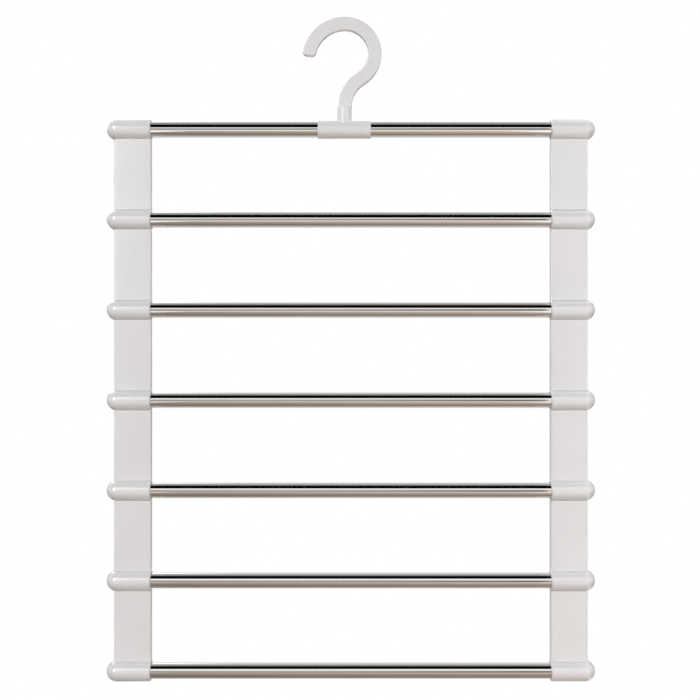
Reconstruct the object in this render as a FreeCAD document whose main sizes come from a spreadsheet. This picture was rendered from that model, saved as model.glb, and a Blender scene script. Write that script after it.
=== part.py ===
"""Seven-tier trouser hanger: steel tubes between moulded sleeves and side panels, hung from a swivelling hook.

Millimetres, +Z up, front towards -Y. The origin is the centre of the hook's eye, the axis of the rail it hangs on.
"""

import FreeCAD, Part
import Sketcher
import math
import os

# Driving dimensions: alias, value, meaning
SIZES = [
    ("tiers", 7, "number of tubes"),
    ("tier_pitch", 72.85, "height from one tube's axis to the next"),
    ("clear_span", 322.0, "bare tube between a left and a right sleeve"),
    ("tube_diameter", 12.7, "outside of the steel tube"),
    ("tube_wall", 0.6, "sheet thickness of the tube"),
    ("tube_clearance", 0.05, "gap round the tube in its sleeves and in the saddle"),
    ("tube_end_gap", 0.3, "play between a tube's end and the bottom of its socket"),
    ("socket_depth", 15.0, "how far a tube reaches into a sleeve"),
    ("socket_lead", 0.4, "chamfer that guides the tube in"),
    ("sleeve_length", 36.0, "sleeve with its domed end"),
    ("sleeve_wall", 2.0, "plastic round the tube"),
    ("sleeve_rim", 1.3, "rounding of the sleeve's open end"),
    ("panel_width", 29.8, "side panel across the front"),
    ("panel_thickness", 6.0, "side panel front to back"),
    ("panel_edge", 1.2, "rounding of the panel's long edges"),
    ("panel_seam", 0.12, "gap between a panel's hollowed end and the sleeve it sits on"),
    ("tongue_inset", 17.2, "from the sleeve's open end to the panel's tongue"),
    ("tongue_width", 9.0, "tongue along the tube"),
    ("tongue_thickness", 4.0, "tongue front to back"),
    ("tongue_clearance", 0.1, "gap round the tongue in its slot"),
    ("tongue_gap", 0.4, "from a tongue's end to the sleeve's axis"),
    ("tongue_root", 3.0, "how far the tongue is carried down into the panel"),
    ("bead_radius", 0.5, "half-round snap bead across the tongue"),
    ("bead_height", 3.6, "from the sleeve's axis to the snap bead"),
    ("saddle_length", 42.6, "sliding sleeve under the hook"),
    ("saddle_wall", 0.7, "plastic round the top tube"),
    ("saddle_edge", 0.35, "rounding of the saddle's ends and the neck's top"),
    ("saddle_offset", 5.3, "middle of the frame, to the right of the hook's stem"),
    ("neck_rise", 11.1, "neck above the saddle"),
    ("neck_wall", 3.1, "plastic round the hook's stem"),
    ("neck_root", 0.8, "rounding where the neck grows out of the saddle"),
    ("stem_diameter", 5.4, "round stem of the hook, in the neck"),
    ("stem_clearance", 0.08, "gap round the stem and its head"),
    ("slit_width", 1.4, "cut that lets the snap head close"),
    ("slit_rise", 5.0, "how far that cut goes on above the snap head"),
    ("head_lip", 0.8, "how far the snap head stands out from the stem"),
    ("head_land", 1.2, "straight part of the snap head"),
    ("head_taper", 1.3, "height of the head's tapered nose"),
    ("head_gap", 0.5, "from the snap head down to the tube"),
    ("seat_gap", 0.15, "between the neck's top and the hook's shoulder"),
    ("bar_width", 10.8, "hook bar across the front"),
    ("bar_depth", 5.2, "hook bar front to back"),
    ("bar_edge", 1.2, "rounding of the hook bar's long edges"),
    ("bar_straight", 0.6, "straight part of the bar above the neck"),
    ("foot_shift", 0.6, "bar's foot, to the right of the stem under it"),
    ("tip_corner", 3.6, "rounding of the hook's free end, seen from the front"),
    ("tip_drop", 2.2, "hook's free end below the middle of its eye"),
    ("eye_diameter", 37.2, "inside of the hook's closed side"),
    ("eye_rise", 43.3, "middle of the eye above the neck's top"),
    ("eye_offset", -0.6, "hook's stem, to the right of the middle of its eye"),
    ("brow_drop", 5.5, "middle of the free end's wider arc below the middle of the eye"),
]

# Sketch numbering: the root point and axes, and the ends of an edge
ROOT = -1
HORIZONTAL_AXIS = -1
VERTICAL_AXIS = -2
START = 1
END = 2
CENTRE = 3
UP = FreeCAD.Vector(0, 0, 1)
SMALL = 1e-4


class Size:
    """A length with its present value and the spreadsheet expression that gives it."""

    def __init__(self, value, text):
        self.value = value
        self.text = text

    def combined(self, other, operation, result):
        other = as_size(other)
        return Size(result(self.value, other.value), f"({self.text} {operation} {other.text})")

    def __add__(self, other):
        return self.combined(other, "+", lambda a, b: a + b)

    def __sub__(self, other):
        return self.combined(other, "-", lambda a, b: a - b)

    def __mul__(self, other):
        return self.combined(other, "*", lambda a, b: a * b)

    def __truediv__(self, other):
        return self.combined(other, "/", lambda a, b: a / b)

    def __neg__(self):
        return as_size(0) - self


def as_size(amount):
    return amount if isinstance(amount, Size) else Size(float(amount), str(amount))


class Sizes:
    """The spreadsheet's driving dimensions, each under its alias."""

    def __init__(self, doc):
        self.sheet = doc.addObject("Spreadsheet::Sheet", "dims")
        for row, (alias, value, meaning) in enumerate(SIZES, start=1):
            self.sheet.set(f"A{row}", alias)
            self.sheet.set(f"B{row}", str(value))
            self.sheet.set(f"C{row}", meaning)
            self.sheet.setAlias(f"B{row}", alias)
            setattr(self, alias, Size(float(value), f"dims.{alias}"))
        doc.recompute()


DOC = FreeCAD.newDocument("trouser_hanger")
dims = Sizes(DOC)
ZERO = as_size(0)

# Sizes that several pieces share
tube_radius = dims.tube_diameter / 2
bore_radius = tube_radius + dims.tube_clearance
sleeve_radius = bore_radius + dims.sleeve_wall
saddle_radius = bore_radius + dims.saddle_wall
neck_top = saddle_radius + dims.neck_rise
stem_radius = dims.stem_diameter / 2
stem_bore = stem_radius + dims.stem_clearance
neck_radius = stem_bore + dims.neck_wall
head_radius = stem_radius + dims.head_lip
head_bottom = tube_radius + dims.head_gap
head_top = head_bottom + dims.head_taper + dims.head_land
tongue_far = dims.tongue_inset + dims.tongue_width
tongue_side = dims.tongue_thickness / 2
eye_radius = dims.eye_diameter / 2
eye_height = neck_top + dims.eye_rise
frame_middle = dims.eye_offset + dims.saddle_offset
left_end = frame_middle - dims.clear_span / 2
right_end = frame_middle + dims.clear_span / 2


def tier_height(tier):
    """Height of a tube's axis, counting tiers from 1 at the top."""
    return -eye_height - dims.tier_pitch * (tier - 1)


def new_body(label, x=ZERO, z=ZERO, turned=False):
    """A body placed at (x, z) in the hanger's plane; a turned one faces the other way along X."""
    body = DOC.addObject("PartDesign::Body", label)
    body.Label = label
    body.Placement = FreeCAD.Placement(FreeCAD.Vector(), FreeCAD.Rotation(UP, 180 if turned else 0))
    body.setExpression("Placement.Base.x", x.text)
    body.setExpression("Placement.Base.z", z.text)
    return body


def new_sketch(body, name, plane, lift=None):
    """A sketch on one of the body's origin planes, lifted along the plane's normal."""
    sketch = body.newObject("Sketcher::SketchObject", name)
    support = next(f for f in body.Origin.OriginFeatures if f.Role == plane)
    sketch.AttachmentSupport = [(support, "")]
    sketch.MapMode = "FlatFace"
    if lift is not None:
        sketch.setExpression("AttachmentOffset.Base.z", lift.text)
    return sketch


def bind(sketch, constraint, size):
    """Adds a constraint whose value follows the spreadsheet."""
    index = sketch.addConstraint(constraint)
    name = f"size_{index}"
    sketch.renameConstraint(index, name)
    sketch.setExpression(f"Constraints.{name}", size.text)


def pin(sketch, edge, point, x, y):
    """Holds a point of an edge at (x, y)."""
    for kind, axis, size in (("DistanceX", VERTICAL_AXIS, x), ("DistanceY", HORIZONTAL_AXIS, y)):
        if abs(size.value) < SMALL:
            sketch.addConstraint(Sketcher.Constraint("PointOnObject", edge, point, axis))
        else:
            bind(sketch, Sketcher.Constraint(kind, ROOT, START, edge, point, size.value), size)


def left_arc(start, end, radius):
    """The arc of that radius that runs counterclockwise from start to end, under half a turn."""
    chord = end - start
    inward = FreeCAD.Vector(-chord.y, chord.x, 0).normalize()
    centre = (start + end) / 2 + inward * math.sqrt(radius**2 - chord.Length**2 / 4)
    first = math.atan2(start.y - centre.y, start.x - centre.x)
    last = math.atan2(end.y - centre.y, end.x - centre.x)
    if last < first:
        last += 2 * math.pi
    return Part.ArcOfCircle(Part.Circle(centre, UP, radius), first, last)


def outline(sketch, corners):
    """A closed outline, counterclockwise. A corner is x, y and, where an arc leaves it, the arc's radius."""
    spots = [FreeCAD.Vector(x.value, y.value, 0) for x, y, *_ in corners]
    first_edge = sketch.GeometryCount
    edges = range(first_edge, first_edge + len(corners))
    for index, (_, _, *radius) in enumerate(corners):
        start = spots[index]
        end = spots[(index + 1) % len(spots)]
        side = left_arc(start, end, radius[0].value) if radius else Part.LineSegment(start, end)
        sketch.addGeometry(side, False)
    for index, edge in enumerate(edges):
        following = edges[(index + 1) % len(corners)]
        sketch.addConstraint(Sketcher.Constraint("Coincident", edge, END, following, START))
    for edge, (x, y, *radius) in zip(edges, corners):
        pin(sketch, edge, START, x, y)
        if radius:
            bind(sketch, Sketcher.Constraint("Radius", edge, radius[0].value), radius[0])


def rectangle(sketch, left, right, low, high):
    outline(sketch, [(left, low), (right, low), (right, high), (left, high)])


def circle(sketch, x, y, radius):
    centre = FreeCAD.Vector(x.value, y.value, 0)
    edge = sketch.addGeometry(Part.Circle(centre, UP, radius.value), False)
    pin(sketch, edge, CENTRE, x, y)
    bind(sketch, Sketcher.Constraint("Radius", edge, radius.value), radius)


def extrude(body, kind, sketch, length=None, side="One side", backwards=False):
    """A Pad or a Pocket; with no length it goes right through."""
    feature = body.newObject(f"PartDesign::{kind}", f"{kind}_{sketch.Name}")
    feature.Profile = sketch
    feature.SideType = side
    feature.Reversed = backwards
    if length is None:
        feature.Type = "ThroughAll"
    else:
        feature.setExpression("Length", length.text)
    return feature


def revolve(body, kind, sketch, axis):
    """A Revolution or a Groove, a full turn about one of the sketch's axes."""
    feature = body.newObject(f"PartDesign::{kind}", f"{kind}_{sketch.Name}")
    feature.Profile = sketch
    feature.ReferenceAxis = (sketch, [axis])
    feature.Angle = 360
    return feature


def round_edges(body, feature, name, radius, wanted):
    """Rounds the edges of the feature that pass the test."""
    DOC.recompute()
    names = [f"Edge{number}" for number, edge in enumerate(feature.Shape.Edges, start=1) if wanted(edge)]
    fillet = body.newObject("PartDesign::Fillet", name)
    fillet.Base = (feature, names)
    fillet.setExpression("Radius", radius.text)
    return fillet


def is_circle(edge, radius):
    return isinstance(edge.Curve, Part.Circle) and abs(edge.Curve.Radius - radius.value) < SMALL


def make_tube(tier):
    """A steel tube that ends inside a sleeve at each side."""
    body = new_body(f"tube_{tier}", frame_middle, tier_height(tier))
    ring = new_sketch(body, "tube_ring", "YZ_Plane")
    circle(ring, ZERO, ZERO, tube_radius)
    circle(ring, ZERO, ZERO, tube_radius - dims.tube_wall)
    length = dims.clear_span + (dims.socket_depth - dims.tube_end_gap) * 2
    extrude(body, "Pad", ring, length, "Symmetric")


def bead_spots(ends):
    """Where the snap beads lie across a tongue: both faces, at each end in the list."""
    return [(side, end) for end in ends for side in (tongue_side, -tongue_side)]


def make_sleeve(label, x, tier, turned):
    """A sleeve from its open end at x = 0 to its dome at -sleeve_length, slotted for the panels' tongues."""
    body = new_body(label, x, tier_height(tier), turned)
    section = new_sketch(body, "sleeve_section", "XZ_Plane")
    dome = dims.sleeve_length - sleeve_radius
    corners = [
        (-dims.socket_depth, ZERO),
        (-dims.socket_depth, bore_radius),
        (-dims.socket_lead, bore_radius),
        (ZERO, bore_radius + dims.socket_lead),
        (ZERO, sleeve_radius - dims.sleeve_rim, dims.sleeve_rim),
        (-dims.sleeve_rim, sleeve_radius),
        (-dome, sleeve_radius, sleeve_radius),
        (-dims.sleeve_length, ZERO),
    ]
    outline(section, corners)
    revolve(body, "Revolution", section, "H_Axis")

    above = tier > 1
    below = tier < dims.tiers.value
    gap = dims.tongue_clearance
    slot = new_sketch(body, "tongue_slot", "XY_Plane")
    rectangle(slot, -tongue_far - gap, -dims.tongue_inset + gap, -tongue_side - gap, tongue_side + gap)
    extrude(body, "Pocket", slot, None, "Symmetric" if above and below else "One side", above and not below)

    ends = [dims.bead_height] * above + [-dims.bead_height] * below
    grooves = new_sketch(body, "bead_grooves", "YZ_Plane", -dims.tongue_inset + gap)
    for y, z in bead_spots(ends):
        circle(grooves, y, z, dims.bead_radius + gap)
    extrude(body, "Pocket", grooves, dims.tongue_width + gap * 2)


def make_panel(label, x, tier, turned):
    """A side panel between the sleeves of a tier and the next one down, with a tongue for each."""
    body = new_body(label, x, tier_height(tier) - dims.tier_pitch / 2, turned)
    reach = dims.tier_pitch / 2
    face = new_sketch(body, "panel_face", "XZ_Plane")
    rectangle(face, -dims.panel_width, ZERO, -reach, reach)
    slab = extrude(body, "Pad", face, dims.panel_thickness, "Symmetric")
    round_edges(body, slab, "long_edges", dims.panel_edge, lambda edge: edge.BoundBox.ZLength > SMALL)

    hollows = new_sketch(body, "hollowed_ends", "YZ_Plane")
    for height in (reach, -reach):
        circle(hollows, ZERO, height, sleeve_radius + dims.panel_seam)
    extrude(body, "Pocket", hollows)

    tongues = new_sketch(body, "tongues", "XZ_Plane")
    root = reach - sleeve_radius - dims.tongue_root
    tip = reach - dims.tongue_gap
    rectangle(tongues, -tongue_far, -dims.tongue_inset, root, tip)
    rectangle(tongues, -tongue_far, -dims.tongue_inset, -tip, -root)
    extrude(body, "Pad", tongues, dims.tongue_thickness, "Symmetric")

    beads = new_sketch(body, "snap_beads", "YZ_Plane", -tongue_far)
    for y, z in bead_spots([reach - dims.bead_height, dims.bead_height - reach]):
        circle(beads, y, z, dims.bead_radius)
    extrude(body, "Pad", beads, dims.tongue_width)


def make_saddle():
    """The sleeve that slides on the top tube, with the neck that the hook's stem snaps into."""
    body = new_body("saddle", dims.eye_offset, tier_height(1))
    barrel = new_sketch(body, "saddle_barrel", "YZ_Plane")
    circle(barrel, ZERO, ZERO, saddle_radius)
    extrude(body, "Pad", barrel, dims.saddle_length, "Symmetric")
    neck = new_sketch(body, "saddle_neck", "XY_Plane")
    circle(neck, ZERO, ZERO, neck_radius)
    tee = extrude(body, "Pad", neck, neck_top)

    def is_outer_rim(edge):
        return is_circle(edge, saddle_radius) or is_circle(edge, neck_radius)

    def is_neck_root(edge):
        return edge.isClosed() and not isinstance(edge.Curve, Part.Circle)

    rims = round_edges(body, tee, "rims", dims.saddle_edge, is_outer_rim)
    round_edges(body, rims, "neck_root", dims.neck_root, is_neck_root)

    bore = new_sketch(body, "tube_bore", "YZ_Plane")
    circle(bore, ZERO, ZERO, bore_radius)
    extrude(body, "Pocket", bore, None, "Symmetric")

    stem_hole = new_sketch(body, "stem_hole", "XZ_Plane")
    head_room = head_radius + dims.stem_clearance
    ceiling = head_top + dims.stem_clearance
    corners = [
        (ZERO, ZERO),
        (head_room, ZERO),
        (head_room, ceiling),
        (stem_bore, ceiling),
        (stem_bore, neck_top),
        (ZERO, neck_top),
    ]
    outline(stem_hole, corners)
    revolve(body, "Groove", stem_hole, "V_Axis")


def hook_path(body):
    """The middle line of the hook's bar: the free end's wide arc, round the eye, a bend back and down to the neck."""
    path = new_sketch(body, "bar_path", "XZ_Plane")
    bar_radius = eye_radius + dims.bar_width / 2
    foot = dims.seat_gap - dims.eye_rise
    bend_end = dims.bar_straight - dims.eye_rise
    foot_x = dims.eye_offset + dims.foot_shift

    # First guess at the tangent arcs, which the sketch then solves
    lean = foot_x.value**2 + bend_end.value**2 - bar_radius.value**2
    bend_radius = lean / (2 * (bar_radius.value - foot_x.value))
    bend_centre = FreeCAD.Vector(foot_x.value + bend_radius, bend_end.value, 0)
    turn = math.atan2(bend_centre.y, bend_centre.x)
    brow_radius = bar_radius.value + dims.brow_drop.value
    tip_turn = math.pi - math.asin((dims.brow_drop.value - dims.tip_drop.value) / brow_radius)

    eye_circle = Part.Circle(FreeCAD.Vector(), UP, bar_radius.value)
    eye = path.addGeometry(Part.ArcOfCircle(eye_circle, turn, math.pi / 2), False)
    brow_circle = Part.Circle(FreeCAD.Vector(0, -dims.brow_drop.value, 0), UP, brow_radius)
    brow = path.addGeometry(Part.ArcOfCircle(brow_circle, math.pi / 2, tip_turn), False)
    bend_circle = Part.Circle(bend_centre, UP, bend_radius)
    bend = path.addGeometry(Part.ArcOfCircle(bend_circle, turn + math.pi, math.pi), False)
    bend_foot = FreeCAD.Vector(foot_x.value, bend_end.value, 0)
    bar_foot = FreeCAD.Vector(foot_x.value, foot.value, 0)
    straight = path.addGeometry(Part.LineSegment(bend_foot, bar_foot), False)

    path.addConstraint(Sketcher.Constraint("Coincident", eye, CENTRE, ROOT, START))
    bind(path, Sketcher.Constraint("Radius", eye, bar_radius.value), bar_radius)
    pin(path, brow, CENTRE, ZERO, -dims.brow_drop)
    path.addConstraint(Sketcher.Constraint("Tangent", eye, END, brow, START))
    bind(path, Sketcher.Constraint("DistanceY", ROOT, START, brow, END, -dims.tip_drop.value), -dims.tip_drop)
    path.addConstraint(Sketcher.Constraint("Tangent", eye, START, bend, START))
    path.addConstraint(Sketcher.Constraint("Tangent", bend, END, straight, START))
    path.addConstraint(Sketcher.Constraint("Vertical", straight))
    pin(path, straight, START, foot_x, bend_end)
    bind(path, Sketcher.Constraint("DistanceY", ROOT, START, straight, END, foot.value), foot)
    return path, foot_x, foot


def make_hook():
    """The hook: a flat-faced bar bent round the eye, and a round stem with a split snap head."""
    body = new_body("hook")
    path, foot_x, foot = hook_path(body)
    axis = dims.eye_offset
    side = dims.bar_width / 2
    front = dims.bar_depth / 2

    section = new_sketch(body, "bar_section", "XY_Plane", foot)
    rectangle(section, foot_x - side, foot_x + side, -front, front)
    bar = body.newObject("PartDesign::AdditivePipe", "bar")
    bar.Profile = section
    bar.Spine = (path, [])

    def is_tip_corner(edge):
        at_tip = edge.CenterOfMass.x < -eye_radius.value / 2
        return at_tip and abs(edge.BoundBox.YLength - dims.bar_depth.value) < SMALL

    def is_outline(edge):
        on_face = edge.BoundBox.YLength < SMALL and abs(abs(edge.CenterOfMass.y) - front.value) < SMALL
        return on_face and edge.BoundBox.ZMax > foot.value + SMALL

    blunt_bar = round_edges(body, bar, "tip_corners", dims.tip_corner, is_tip_corner)
    round_edges(body, blunt_bar, "bar_edges", dims.bar_edge, is_outline)

    stem = new_sketch(body, "stem_section", "XZ_Plane")
    tube_level = -eye_height
    nose = stem_radius - dims.head_lip / 2
    stem_top = foot + dims.bar_straight / 2
    corners = [
        (axis, tube_level + head_bottom),
        (axis + nose, tube_level + head_bottom),
        (axis + head_radius, tube_level + head_bottom + dims.head_taper),
        (axis + head_radius, tube_level + head_top),
        (axis + stem_radius, tube_level + head_top),
        (axis + stem_radius, stem_top),
        (axis, stem_top),
    ]
    outline(stem, corners)
    axis_ends = FreeCAD.Vector(axis.value, 0, 0), FreeCAD.Vector(axis.value, tube_level.value, 0)
    axis_line = stem.addGeometry(Part.LineSegment(*axis_ends), True)
    pin(stem, axis_line, START, axis, ZERO)
    pin(stem, axis_line, END, axis, tube_level)
    revolve(body, "Revolution", stem, "Axis0")

    slit = new_sketch(body, "stem_slit", "XZ_Plane")
    half_slit = dims.slit_width / 2
    rectangle(slit, axis - half_slit, axis + half_slit, tube_level, tube_level + head_top + dims.slit_rise)
    extrude(body, "Pocket", slit, None, "Symmetric")


def build():
    make_hook()
    make_saddle()
    tiers = int(dims.tiers.value)
    for tier in range(1, tiers + 1):
        make_tube(tier)
        make_sleeve(f"left_sleeve_{tier}", left_end, tier, False)
        make_sleeve(f"right_sleeve_{tier}", right_end, tier, True)
    for tier in range(1, tiers):
        make_panel(f"left_panel_{tier}", left_end, tier, False)
        make_panel(f"right_panel_{tier}", right_end, tier, True)
    DOC.recompute()


def check():
    """Stops on a failed object, a cut that removes nothing or a sub-part that isn't one valid solid."""
    for item in DOC.Objects:
        if "Invalid" in item.State or "Error" in item.State:
            raise RuntimeError(f"{item.Label} failed: {item.State}")
        if item.TypeId in ("PartDesign::Pocket", "PartDesign::Groove"):
            if item.Shape.Volume > item.BaseFeature.Shape.Volume - SMALL:
                raise RuntimeError(f"{item.Label} cuts nothing")
    for body in bodies():
        if body.Shape.isNull() or not body.Shape.isValid() or len(body.Shape.Solids) != 1:
            raise RuntimeError(f"{body.Label} isn't one valid solid")


def bodies():
    return [item for item in DOC.Objects if item.TypeId == "PartDesign::Body"]


def write():
    os.makedirs("parts", exist_ok=True)
    for body in bodies():
        body.Shape.exportStep(f"parts/{body.Label}.step")


build()
check()
write()
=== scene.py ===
"""Looks of a seven-tier trouser hanger: moulded plastic, polished tubes, studio and camera.

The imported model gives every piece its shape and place. This file gives each piece its finish,
and sets up the stage. Lengths are in metres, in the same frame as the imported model.
"""

import math

import bmesh
import bpy
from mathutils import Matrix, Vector


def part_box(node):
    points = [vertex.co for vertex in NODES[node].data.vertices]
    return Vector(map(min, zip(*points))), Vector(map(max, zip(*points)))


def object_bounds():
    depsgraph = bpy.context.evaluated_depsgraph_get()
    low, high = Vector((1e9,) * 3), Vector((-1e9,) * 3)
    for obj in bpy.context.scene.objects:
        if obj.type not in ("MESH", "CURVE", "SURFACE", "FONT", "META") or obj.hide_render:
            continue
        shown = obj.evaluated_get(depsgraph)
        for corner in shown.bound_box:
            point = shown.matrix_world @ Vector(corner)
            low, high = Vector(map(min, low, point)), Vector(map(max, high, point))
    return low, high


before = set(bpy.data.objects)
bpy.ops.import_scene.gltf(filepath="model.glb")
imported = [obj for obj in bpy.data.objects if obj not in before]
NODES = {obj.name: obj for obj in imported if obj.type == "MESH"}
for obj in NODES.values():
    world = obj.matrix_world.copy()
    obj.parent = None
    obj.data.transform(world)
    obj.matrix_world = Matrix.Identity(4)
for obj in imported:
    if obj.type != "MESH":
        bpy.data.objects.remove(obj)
CAD_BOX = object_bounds()

bl_info = {
    "name": "Trouser Hanger Finishes",
    "version": (1, 0, 0),
    "blender": (4, 5, 0),
    "location": "3D View > Sidebar > Hanger",
    "description": "Gives the pieces of a seven-tier trouser hanger their finishes and sets up its stage",
    "category": "Object",
}

MM = 0.001
TUBES = sorted(name for name in NODES if name.startswith("tube_"))
SLEEVES = sorted(name for name in NODES if "_sleeve_" in name)
PANELS = sorted(name for name in NODES if "_panel_" in name)
TIER_HEIGHTS = [sum(corner.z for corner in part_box(name)) / 2 for name in TUBES]
TIER_PITCH = TIER_HEIGHTS[0] - TIER_HEIGHTS[1]


# Settings that a user would change

class PlasticFinish(bpy.types.PropertyGroup):
    """Off-white moulded plastic of the hook, saddle, sleeves and panels"""

    colour: bpy.props.FloatVectorProperty(
        name="Colour", description="Base colour of the moulding", subtype="COLOR",
        default=(0.84, 0.834, 0.844), min=0.0, max=1.0)
    hook_colour: bpy.props.FloatVectorProperty(
        name="Hook colour", description="Base colour of the hook and saddle", subtype="COLOR",
        default=(0.856, 0.852, 0.86), min=0.0, max=1.0)
    cloud_shade: bpy.props.FloatProperty(
        name="Cloud shade", description="Brightness of the faint clouds, as a share of the colour",
        subtype="FACTOR", default=0.982, min=0.0, max=1.0)
    roughness: bpy.props.FloatProperty(
        name="Roughness", description="Mean roughness of the frame's glossy skin", subtype="FACTOR",
        default=0.15, min=0.0, max=1.0)
    hook_roughness: bpy.props.FloatProperty(
        name="Hook roughness", description="Mean roughness of the hook and saddle", subtype="FACTOR",
        default=0.34, min=0.0, max=1.0)
    coat: bpy.props.FloatProperty(
        name="Gloss", description="Weight of the shiny skin", subtype="FACTOR", default=0.8, min=0.0, max=1.0)
    cloud_size: bpy.props.FloatProperty(
        name="Cloud size", description="Width of a cloud in the colour", unit="LENGTH",
        default=38 * MM, min=MM)
    grain_size: bpy.props.FloatProperty(
        name="Grain size", description="Width of one grain of the mould's texture", unit="LENGTH",
        default=0.35 * MM, min=0.01 * MM)
    grain_height: bpy.props.FloatProperty(
        name="Grain height", description="Height of the mould's texture", unit="LENGTH",
        default=0.0012 * MM, min=0.0)
    ripple_size: bpy.props.FloatProperty(
        name="Ripple size", description="Width of the slow ripple that shrinking leaves", unit="LENGTH",
        default=9 * MM, min=MM)
    ripple_height: bpy.props.FloatProperty(
        name="Ripple height", description="Height of that ripple", unit="LENGTH",
        default=0.004 * MM, min=0.0)
    seam_width: bpy.props.FloatProperty(
        name="Seam width", description="Half width of the line where the mould's halves meet", unit="LENGTH",
        default=0.2 * MM, min=0.01 * MM)
    seam_height: bpy.props.FloatProperty(
        name="Seam height", description="Height of that line", unit="LENGTH",
        default=0.05 * MM, min=0.0)


class SteelFinish(bpy.types.PropertyGroup):
    """Polished stainless tube"""

    colour: bpy.props.FloatVectorProperty(
        name="Colour", description="Reflection colour of the tube", subtype="COLOR",
        default=(0.67, 0.66, 0.645), min=0.0, max=1.0)
    shade: bpy.props.FloatVectorProperty(
        name="Streak colour", description="Colour in the drawn streaks", subtype="COLOR",
        default=(0.6, 0.59, 0.575), min=0.0, max=1.0)
    roughness: bpy.props.FloatProperty(
        name="Roughness", description="Roughness of the polished skin", subtype="FACTOR",
        default=0.03, min=0.0, max=1.0)
    streak_width: bpy.props.FloatProperty(
        name="Streak width", description="Width of one drawn streak", unit="LENGTH",
        default=0.3 * MM, min=0.01 * MM)
    streak_length: bpy.props.FloatProperty(
        name="Streak length", description="Length of one drawn streak", unit="LENGTH",
        default=60 * MM, min=MM)
    smudge_size: bpy.props.FloatProperty(
        name="Smudge size", description="Width of a dull patch", unit="LENGTH",
        default=24 * MM, min=MM)
    seam_width: bpy.props.FloatProperty(
        name="Weld width", description="Half width of the weld line at the back", unit="LENGTH",
        default=0.5 * MM, min=0.01 * MM)


class StudioSettings(bpy.types.PropertyGroup):
    """Stage, light and camera"""

    camera_distance: bpy.props.FloatProperty(
        name="Camera distance", description="From the camera to the hanger's middle plane", unit="LENGTH",
        default=0.786, min=0.1)
    camera_side: bpy.props.FloatProperty(
        name="Camera side", description="Place of the camera along the tubes", unit="LENGTH", default=0.004)
    camera_height: bpy.props.FloatProperty(
        name="Camera height", description="Height of the camera from the hook's eye", unit="LENGTH",
        default=-0.2395)
    camera_lens: bpy.props.FloatProperty(
        name="Lens", description="Focal length on a 36 mm sensor", unit="CAMERA", default=50.0, min=1.0)
    floor_drop: bpy.props.FloatProperty(
        name="Floor drop", description="From the lowest tube down to the floor", unit="LENGTH",
        default=1.2, min=0.0)
    floor_radius: bpy.props.FloatProperty(
        name="Floor radius", description="Radius of the round floor", unit="LENGTH", default=8.0, min=0.1)
    floor_colour: bpy.props.FloatVectorProperty(
        name="Floor colour", description="Colour of the floor", subtype="COLOR",
        default=(0.9, 0.895, 0.89), min=0.0, max=1.0)
    left_strength: bpy.props.FloatProperty(
        name="Left light", description="Radiance from the far left", default=0.95, min=0.0)
    right_strength: bpy.props.FloatProperty(
        name="Right light", description="Radiance from the far right", default=0.75, min=0.0)
    card_colour: bpy.props.FloatVectorProperty(
        name="Low card colour", description="Colour of the warm card under the hanger", subtype="COLOR",
        default=(1.0, 0.82, 0.7), min=0.0, max=1.0)
    flag_left: bpy.props.FloatVectorProperty(
        name="Low flag left", description="Colour of the low flag at its left end", subtype="COLOR",
        default=(0.06, 0.02, 0.0), min=0.0, max=1.0)
    flag_right: bpy.props.FloatVectorProperty(
        name="Low flag right", description="Colour of the low flag at its right end", subtype="COLOR",
        default=(0.46, 0.34, 0.26), min=0.0, max=1.0)
    key_power: bpy.props.FloatProperty(
        name="Key power", description="Power of the soft box at the upper left", unit="POWER",
        default=25.0, min=0.0)
    fill_power: bpy.props.FloatProperty(
        name="Fill power", description="Power of the soft box at the right", unit="POWER",
        default=5.0, min=0.0)
    back_power: bpy.props.FloatProperty(
        name="Back power", description="Power of the soft box behind and above", unit="POWER",
        default=16.0, min=0.0)
    top_power: bpy.props.FloatProperty(
        name="Top power", description="Power of the soft box overhead", unit="POWER", default=1.5, min=0.0)


# Shader trees written as expressions

class Wire:
    """An output socket. Arithmetic on it adds Math nodes to its sheet."""

    def __init__(self, sheet, socket):
        self.sheet = sheet
        self.socket = socket

    def math(self, operation, *values):
        inputs = dict(enumerate(values))
        return self.sheet.node("ShaderNodeMath", {"operation": operation}, inputs)["Value"]

    def __add__(self, other):
        return self.math("ADD", self, other)

    def __radd__(self, other):
        return self.math("ADD", other, self)

    def __sub__(self, other):
        return self.math("SUBTRACT", self, other)

    def __rsub__(self, other):
        return self.math("SUBTRACT", other, self)

    def __mul__(self, other):
        return self.math("MULTIPLY", self, other)

    def __rmul__(self, other):
        return self.math("MULTIPLY", other, self)

    def __truediv__(self, other):
        return self.math("DIVIDE", self, other)

    def __rtruediv__(self, other):
        return self.math("DIVIDE", other, self)

    def __abs__(self):
        return self.math("ABSOLUTE", self)


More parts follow.
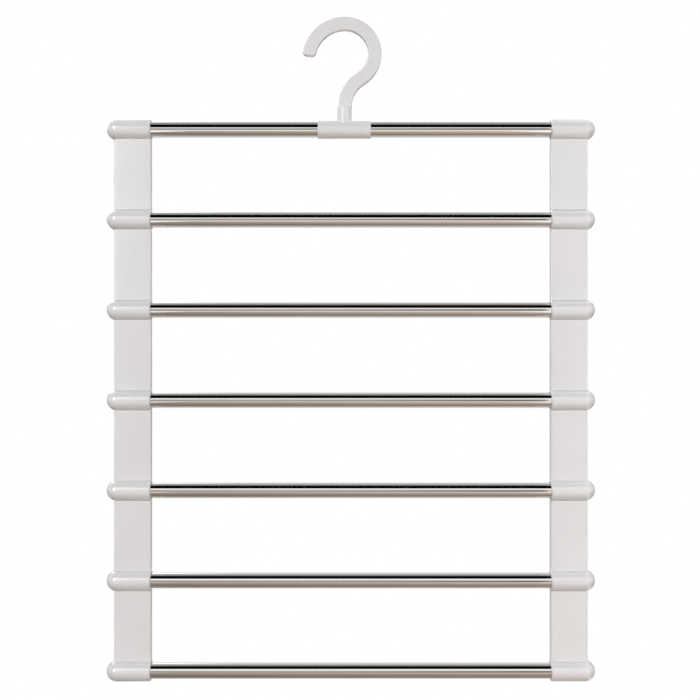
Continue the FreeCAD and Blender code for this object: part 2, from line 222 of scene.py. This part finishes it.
class Sheet:
    """A node tree that is filled by calls of one method."""

    def __init__(self, tree):
        self.tree = tree
        tree.nodes.clear()

    def node(self, kind, settings=None, inputs=None):
        """Adds a node and returns its live outputs by name. A ramp's stops are one of its settings."""
        made = self.tree.nodes.new(kind)
        for name, value in (settings or {}).items():
            if name == "stops":
                self.set_stops(made.color_ramp.elements, value)
            else:
                setattr(made, name, value)
        for key, value in (inputs or {}).items():
            self.feed(self.find(made.inputs, key), value)
        return {socket.name: Wire(self, socket) for socket in made.outputs if socket.enabled}

    @staticmethod
    def find(sockets, key):
        if isinstance(key, int):
            return sockets[key]
        return next(socket for socket in sockets if socket.enabled and socket.name == key)

    def feed(self, socket, value):
        if isinstance(value, Wire):
            self.tree.links.new(value.socket, socket)
        else:
            socket.default_value = value

    @staticmethod
    def set_stops(elements, stops):
        while len(elements) < len(stops):
            elements.new(1.0)
        for element, (position, colour) in zip(elements, stops):
            element.position = position
            element.color = (*colour, 1.0)

    def noise(self, place, size, detail=2.0):
        """Noise of about 0 to 1 whose features are size wide."""
        return self.node("ShaderNodeTexNoise", None, {
            "Vector": place, "Scale": 1 / size, "Detail": detail})["Fac"]

    def smooth(self, value, low, high):
        """0 below low, 1 above high and a smooth step between."""
        return self.node("ShaderNodeMapRange", {"interpolation_type": "SMOOTHSTEP"}, {
            "Value": value, "From Min": low, "From Max": high})["Result"]

    def blend(self, factor, first, second):
        """A colour between two colours."""
        return self.node("ShaderNodeMix", {"data_type": "RGBA"}, {
            "Factor": factor, "A": first, "B": second})["Result"]


def opaque(colour):
    """A colour property as the four numbers of a colour socket."""
    return (*colour, 1.0)


def new_material(name):
    material = bpy.data.materials.new(name)
    material.use_nodes = True
    return material


# Finishes

NOISE_MIDDLE = 0.5
PLASTIC_IOR = 1.6
CLOUD_DETAIL = 3.0
CLOUD_EDGES = (0.35, 0.65)
CLOUD_DULLNESS = 0.08
GRAIN_DULLNESS = 0.04
STREAK_EDGES = (0.45, 0.8)
STREAK_DULLNESS = 0.04
SMUDGE_DETAIL = 4.0
SMUDGE_EDGES = (0.45, 0.75)
SMUDGE_DULLNESS = 0.03
WELD_HEIGHT = 0.004 * MM
WELD_DULLNESS = 0.12


def relief(sheet, height):
    """The normal of a surface whose height, in metres, varies."""
    inputs = {"Strength": 1.0, "Distance": 1.0, "Height": height}
    return sheet.node("ShaderNodeBump", None, inputs)["Normal"]


def moulded_plastic(finish, name, tint, roughness):
    """Glossy off-white moulding: clouds, fine grain, slow ripple and mould seam."""
    material = new_material(name)
    sheet = Sheet(material.node_tree)
    place = sheet.node("ShaderNodeTexCoord")["Object"]
    across = sheet.node("ShaderNodeSeparateXYZ", None, {"Vector": place})["Y"]
    clouds = sheet.noise(place, finish.cloud_size, CLOUD_DETAIL)
    grain = sheet.noise(place, finish.grain_size)
    ripple = sheet.noise(place, finish.ripple_size)
    seam = 1 - sheet.smooth(abs(across), 0.0, finish.seam_width)
    height = grain * finish.grain_height + ripple * finish.ripple_height + seam * finish.seam_height
    shaded = [finish.cloud_shade * level for level in tint]
    colour = sheet.blend(sheet.smooth(clouds, *CLOUD_EDGES), opaque(tint), opaque(shaded))
    cloud_dullness = (clouds - NOISE_MIDDLE) * CLOUD_DULLNESS
    grain_dullness = (grain - NOISE_MIDDLE) * GRAIN_DULLNESS
    dullness = roughness + cloud_dullness + grain_dullness
    shader = sheet.node("ShaderNodeBsdfPrincipled", None, {
        "Base Color": colour, "Roughness": dullness, "IOR": PLASTIC_IOR, "Coat Weight": finish.coat,
        "Coat Roughness": roughness, "Coat IOR": PLASTIC_IOR, "Normal": relief(sheet, height)})["BSDF"]
    sheet.node("ShaderNodeOutputMaterial", None, {"Surface": shader})
    return material


def polished_steel(finish):
    """Polished tube: drawn streaks along it, dull smudges and a weld line at the back."""
    material = new_material("polished_steel")
    sheet = Sheet(material.node_tree)
    place = sheet.node("ShaderNodeTexCoord")["Object"]
    axes = sheet.node("ShaderNodeSeparateXYZ", None, {"Vector": place})
    stretch = (1 / finish.streak_length, 1 / finish.streak_width, 1 / finish.streak_width)
    drawn = sheet.node("ShaderNodeVectorMath", {"operation": "MULTIPLY"}, {0: place, 1: stretch})["Vector"]
    streak = sheet.noise(drawn, 1.0)
    patches = sheet.noise(place, finish.smudge_size, SMUDGE_DETAIL)
    smudge = sheet.smooth(patches, *SMUDGE_EDGES)
    tier = (axes["Z"] - TIER_HEIGHTS[0]) / TIER_PITCH
    off_axis = abs(tier - tier.math("ROUND", tier)) * TIER_PITCH
    weld = (1 - sheet.smooth(off_axis, 0.0, finish.seam_width)) * sheet.smooth(axes["Y"], 0.0, MM)
    colour = sheet.blend(sheet.smooth(streak, *STREAK_EDGES), opaque(finish.colour), opaque(finish.shade))
    streak_dullness = (streak - NOISE_MIDDLE) * STREAK_DULLNESS
    roughness = finish.roughness + streak_dullness + smudge * SMUDGE_DULLNESS + weld * WELD_DULLNESS
    shader = sheet.node("ShaderNodeBsdfPrincipled", None, {
        "Base Color": colour, "Metallic": 1.0, "Roughness": roughness,
        "Normal": relief(sheet, weld * WELD_HEIGHT)})["BSDF"]
    sheet.node("ShaderNodeOutputMaterial", None, {"Surface": shader})
    return material


def pale_floor(colour, fade_start, fade_end):
    """Plain pale floor that fades into the white backdrop with distance."""
    material = new_material("pale_floor")
    sheet = Sheet(material.node_tree)
    place = sheet.node("ShaderNodeTexCoord")["Object"]
    reach = sheet.node("ShaderNodeVectorMath", {"operation": "LENGTH"}, {0: place})["Value"]
    fade = sheet.smooth(reach, fade_start, fade_end)
    matt = sheet.node("ShaderNodeBsdfDiffuse", None, {"Color": opaque(colour)})["BSDF"]
    white = sheet.node("ShaderNodeEmission", None, {"Strength": 1.0})["Emission"]
    surface = sheet.node("ShaderNodeMixShader", None, {0: fade, 1: matt, 2: white})["Shader"]
    sheet.node("ShaderNodeOutputMaterial", None, {"Surface": surface})
    return material


def dress(names, material):
    """Gives each named node its finish."""
    for name in names:
        slots = NODES[name].data.materials
        slots.clear()
        slots.append(material)


# Studio light

# Light round the tubes: an angle in degrees, 0 to the front and 90 upwards, and its colour or grey
STUDIO_RAMP = [
    (-180, (0.8, 0.8, 0.8)),
    (-150, (0.92, 0.91, 0.9)),
    (-130, (0.95, 0.92, 0.9)),
    (-115, (0.6, 0.54, 0.5)),
    (-100, (0.08, 0.07, 0.06)),
    (-85, (0.1, 0.08, 0.07)),
    (-70, (0.55, 0.5, 0.46)),
    (-55, (1.1, 1.04, 1.0)),
    (-40, (1.5, 1.44, 1.4)),
    (-28, (1.5, 1.45, 1.42)),
    (-16, (0.82, 0.79, 0.77)),
    (-6, (0.4, 0.39, 0.38)),
    (3, (0.45, 0.45, 0.45)),
    (14, (0.95, 0.94, 0.93)),
    (24, (1.36, 1.35, 1.34)),
    (34, (1.2, 1.2, 1.2)),
    (74, (0.9, 0.9, 0.9)),
    (83, (0.3, 0.3, 0.3)),
    (94, (0.3, 0.3, 0.3)),
    (104, (0.6, 0.6, 0.6)),
    (118, (0.8, 0.8, 0.8)),
    (135, (0.95, 0.95, 0.95)),
    (180, (1.1, 1.1, 1.1)),
]
RIGHT_END = {-6: (0.2, 0.2, 0.2), 3: (0.1, 0.1, 0.1)}
LEFT_RAMP = [
    (-180, 0.05), (-166, 0.08), (-150, 0.5), (-140, 0.3), (-110, 0.03), (-75, 0.03), (-58, 0.06),
    (-44, 0.1), (-36, 0.3), (-24, 0.88), (-12, 0.94), (8, 1.02), (37, 1.02), (43, 0.05), (60, 0.12),
    (80, 0.6), (100, 1.0), (140, 1.2), (150, 1.0), (166, 0.08), (180, 0.05),
]
RIGHT_RAMP = [
    (-180, 0.05), (-166, 0.08), (-150, 0.5), (-140, 0.98), (-110, 1.4), (-75, 1.4), (-58, 1.4),
    (-44, 1.0), (-36, 1.42), (30, 1.42), (48, 1.0), (70, 1.1), (90, 1.3), (140, 1.3), (150, 1.0),
    (166, 0.08), (180, 0.05),
]

# Where one part of the studio gives way to the next, as the sideways or upward share of a direction
STRIP_MIDDLE = -0.005
STRIP_ENDS = (0.2, 0.21)
RIGHT_END_FADE = (-0.05, 0.2)
SIDE_FADE = (-0.1, 0.1)
GAP_FADE = (0.6, 0.68)
FAR_FADE = (0.8, 0.92)
HORIZON_FADE = (-0.4, 0.1)
GAP_COLOUR = (0.3, 0.3, 0.3)
LOW_COLOUR = (0.1, 0.08, 0.07)
WHITE = (1.0, 1.0, 1.0)

# Cards: height, left and right ends, front and back edges
OVERHEAD_FLAG = (0.42, (-0.46, 0.45), (-1.146, -0.153))
LOW_CARD = (-0.81, (-0.36, 0.36), (-1.28, 0.27))
LOW_FLAG = (-0.8, (-0.8, 0.8), (-1.6, 0.7))
BLACK = (0.002, 0.002, 0.002)
LOW_CARD_TONES = [
    (0.0, 0.7), (0.31, 0.67), (0.5, 0.56), (0.6, 0.46), (0.68, 0.34), (0.8, 0.34), (0.86, 0.44),
    (0.93, 0.6), (1.0, 0.75),
]
LOW_CARD_SHARES = (0.76, 1.24)

# Soft boxes: place from the hanger's middle, width and height, and whether shiny pieces mirror it
SOFT_BOXES = {
    "key": ((-1.45, -2.45, 0.85), (1.15, 1.5), True),
    "back": ((-1.6, 1.9, 1.6), (2.0, 2.0), True),
    "top": ((0.3, -0.5, 2.2), (1.5, 1.5), False),
    "fill": ((1.8, -1.5, 0.2), (1.0, 1.0), True),
}
FLOOR_SEGMENTS = 96
FLOOR_FADE = (1.5, 3.0)
SENSOR_WIDTH = 36.0


def ramp_stops(levels):
    """A list of angle and grey level or colour, as the stops of a ramp over a full turn."""
    colours = [(angle, (level,) * 3 if isinstance(level, float) else level) for angle, level in levels]
    return [((angle + 180) / 360, colour) for angle, colour in colours]


def studio_world(left_strength, right_strength):
    """Long light strips along the tubes, a wide front panel on each side, and white for the camera."""
    world = bpy.data.worlds.new("studio")
    world.use_nodes = True
    sheet = Sheet(world.node_tree)
    towards = sheet.node("ShaderNodeTexCoord")["Generated"]
    axes = sheet.node("ShaderNodeSeparateXYZ", None, {"Vector": towards})
    turn = axes["Z"].math("ARCTAN2", axes["Z"], 0 - axes["Y"]) / math.tau + 0.5
    right_end = {**dict(STUDIO_RAMP), **RIGHT_END}
    strips, dim_strips, left, right = (
        sheet.node("ShaderNodeValToRGB", {"stops": ramp_stops(levels)}, {"Fac": turn})["Color"]
        for levels in (STUDIO_RAMP, list(right_end.items()), LEFT_RAMP, RIGHT_RAMP))
    strips = sheet.blend(sheet.smooth(axes["X"], *RIGHT_END_FADE), strips, dim_strips)
    side = sheet.smooth(axes["X"], *SIDE_FADE)
    front = sheet.blend(side, left, right)
    far = sheet.blend(side, opaque((left_strength,) * 3), opaque((right_strength,) * 3))
    far = sheet.blend(sheet.smooth(axes["Z"], *HORIZON_FADE), opaque(LOW_COLOUR), far)
    panels = sheet.blend(sheet.smooth(abs(axes["X"]), *GAP_FADE), front, opaque(GAP_COLOUR))
    panels = sheet.blend(sheet.smooth(abs(axes["X"]), *FAR_FADE), panels, far)
    off_strips = sheet.smooth(abs(axes["X"] - STRIP_MIDDLE), *STRIP_ENDS)
    colour = sheet.blend(off_strips, strips, panels)
    seen = sheet.node("ShaderNodeLightPath")["Is Camera Ray"]
    light = sheet.node("ShaderNodeBackground", None, {"Color": colour})["Background"]
    white = sheet.node("ShaderNodeBackground", None, {"Color": opaque(WHITE)})["Background"]
    surface = sheet.node("ShaderNodeMixShader", None, {0: seen, 1: light, 2: white})["Shader"]
    sheet.node("ShaderNodeOutputWorld", None, {"Surface": surface})
    return world


def studio_card(name, place, left_stops, right_stops, mirrored=True, lit=True):
    """A level card beside the view, which tubes and mouldings see and the camera doesn't.

    Its place is its height, its left and right ends, and its front and back edges. Its colour follows the
    stops from the front edge to the back edge, and blends from the left stops to the right ones.
    A card that isn't mirrored is hidden from shiny reflections, and one that isn't lit from matt ones.
    """
    material = new_material(name)
    sheet = Sheet(material.node_tree)
    height, (left, right), (front, back) = place
    point = sheet.node("ShaderNodeTexCoord")["Object"]
    axes = sheet.node("ShaderNodeSeparateXYZ", None, {"Vector": point})
    depth = (axes["Y"] - front) / (back - front)
    left_colour, right_colour = (
        sheet.node("ShaderNodeValToRGB", {"stops": stops}, {"Fac": depth})["Color"]
        for stops in (left_stops, right_stops))
    colour = sheet.blend((axes["X"] - left) / (right - left), left_colour, right_colour)
    glow = sheet.node("ShaderNodeEmission", None, {"Color": colour, "Strength": 1.0})["Emission"]
    sheet.node("ShaderNodeOutputMaterial", None, {"Surface": glow})
    size = (right - left, back - front, 1.0)
    middle = ((left + right) / 2, (front + back) / 2, height)
    plane = bmesh.new()
    bmesh.ops.create_grid(plane, x_segments=1, y_segments=1, size=0.5)
    bmesh.ops.scale(plane, vec=size, verts=plane.verts)
    bmesh.ops.translate(plane, vec=middle, verts=plane.verts)
    mesh = bpy.data.meshes.new(name)
    plane.to_mesh(mesh)
    plane.free()
    mesh.materials.append(material)
    card = bpy.data.objects.new(name, mesh)
    card.visible_camera = False
    card.visible_shadow = False
    card.visible_glossy = mirrored
    card.visible_diffuse = lit
    bpy.context.scene.collection.objects.link(card)


def soft_box(name, place, target, size, power, mirrored):
    """An area light of the given width and height that faces the target.

    One that isn't mirrored is hidden from shiny reflections.
    """
    lamp = bpy.data.lights.new(name, "AREA")
    lamp.shape = "RECTANGLE"
    lamp.size, lamp.size_y = size
    lamp.energy = power
    box = bpy.data.objects.new(name, lamp)
    box.location = place
    box.rotation_euler = (target - place).to_track_quat("-Z", "Y").to_euler()
    box.visible_glossy = mirrored
    bpy.context.scene.collection.objects.link(box)


# Operators

class HANGER_OT_tubes(bpy.types.Operator):
    """Polish the seven tubes"""

    bl_idname = "hanger.tubes"
    bl_label = "Polish Tubes"

    def execute(self, context):
        dress(TUBES, polished_steel(context.scene.hanger_steel))
        return {"FINISHED"}


class HANGER_OT_frame_mouldings(bpy.types.Operator):
    """Finish the sleeves and panels of the two side frames"""

    bl_idname = "hanger.frame_mouldings"
    bl_label = "Finish Side Frames"

    def execute(self, context):
        finish = context.scene.hanger_plastic
        dress(SLEEVES + PANELS, moulded_plastic(finish, "glossy_plastic", finish.colour, finish.roughness))
        return {"FINISHED"}


class HANGER_OT_hook(bpy.types.Operator):
    """Finish the hook and the saddle that carries it"""

    bl_idname = "hanger.hook"
    bl_label = "Finish Hook and Saddle"

    def execute(self, context):
        finish = context.scene.hanger_plastic
        satin = moulded_plastic(finish, "satin_plastic", finish.hook_colour, finish.hook_roughness)
        dress(["hook", "saddle"], satin)
        return {"FINISHED"}


class HANGER_OT_stage(bpy.types.Operator):
    """Set up the floor, the light and the camera"""

    bl_idname = "hanger.stage"
    bl_label = "Set Stage"

    def execute(self, context):
        studio = context.scene.hanger_studio
        self.lay_floor(context.scene, studio)
        self.light(context.scene, studio)
        self.place_camera(context.scene, studio)
        context.scene.view_settings.view_transform = "Standard"
        return {"FINISHED"}

    def lay_floor(self, scene, studio):
        disc = bmesh.new()
        bmesh.ops.create_circle(disc, cap_ends=True, segments=FLOOR_SEGMENTS, radius=studio.floor_radius)
        mesh = bpy.data.meshes.new("floor")
        disc.to_mesh(mesh)
        disc.free()
        mesh.materials.append(pale_floor(studio.floor_colour, *FLOOR_FADE))
        floor = bpy.data.objects.new("floor", mesh)
        floor.location.z = TIER_HEIGHTS[-1] - studio.floor_drop
        floor.visible_glossy = False
        floor.visible_diffuse = False
        scene.collection.objects.link(floor)

    def light(self, scene, studio):
        scene.world = studio_world(studio.left_strength, studio.right_strength)
        tint = Vector(studio.card_colour)
        dim, bright = (
            [(tone_at, tint * tone * share) for tone_at, tone in LOW_CARD_TONES] for share in LOW_CARD_SHARES)
        black, dusk, dawn = (
            [(0.0, colour), (1.0, colour)] for colour in (BLACK, studio.flag_left, studio.flag_right))
        studio_card("overhead_flag", OVERHEAD_FLAG, black, black)
        studio_card("low_card", LOW_CARD, dim, bright, lit=False)
        studio_card("low_flag", LOW_FLAG, dusk, dawn, mirrored=False)
        middle = sum(CAD_BOX, Vector()) / 2
        for name, (offset, size, mirrored) in SOFT_BOXES.items():
            power = getattr(studio, f"{name}_power")
            soft_box(f"{name}_box", middle + Vector(offset), middle, size, power, mirrored)

    def place_camera(self, scene, studio):
        data = bpy.data.cameras.new("camera")
        data.lens = studio.camera_lens
        data.sensor_width = SENSOR_WIDTH
        camera = bpy.data.objects.new("camera", data)
        camera.location = (studio.camera_side, -studio.camera_distance, studio.camera_height)
        camera.rotation_euler = (math.pi / 2, 0.0, 0.0)
        scene.collection.objects.link(camera)
        scene.camera = camera


class HANGER_PT_finishes(bpy.types.Panel):
    """Lists the finishes and their settings"""

    bl_idname = "HANGER_PT_finishes"
    bl_label = "Trouser Hanger"
    bl_space_type = "VIEW_3D"
    bl_region_type = "UI"
    bl_category = "Hanger"

    def draw(self, context):
        for name in SETTINGS:
            group = getattr(context.scene, name)
            box = self.layout.box()
            for field in group.__annotations__:
                box.prop(group, field)
        for operator in OPERATORS:
            self.layout.operator(operator.bl_idname)


SETTINGS = {
    "hanger_plastic": PlasticFinish,
    "hanger_steel": SteelFinish,
    "hanger_studio": StudioSettings,
}
OPERATORS = [HANGER_OT_tubes, HANGER_OT_frame_mouldings, HANGER_OT_hook, HANGER_OT_stage]
CLASSES = [*SETTINGS.values(), *OPERATORS, HANGER_PT_finishes]


def register():
    for item in CLASSES:
        bpy.utils.register_class(item)
    for name, group in SETTINGS.items():
        setattr(bpy.types.Scene, name, bpy.props.PointerProperty(type=group))


def unregister():
    for name in SETTINGS:
        delattr(bpy.types.Scene, name)
    for item in reversed(CLASSES):
        bpy.utils.unregister_class(item)


def main():
    register()
    bpy.ops.hanger.tubes()
    bpy.ops.hanger.frame_mouldings()
    bpy.ops.hanger.hook()
    bpy.ops.hanger.stage()


if __name__ == "__main__":
    main()
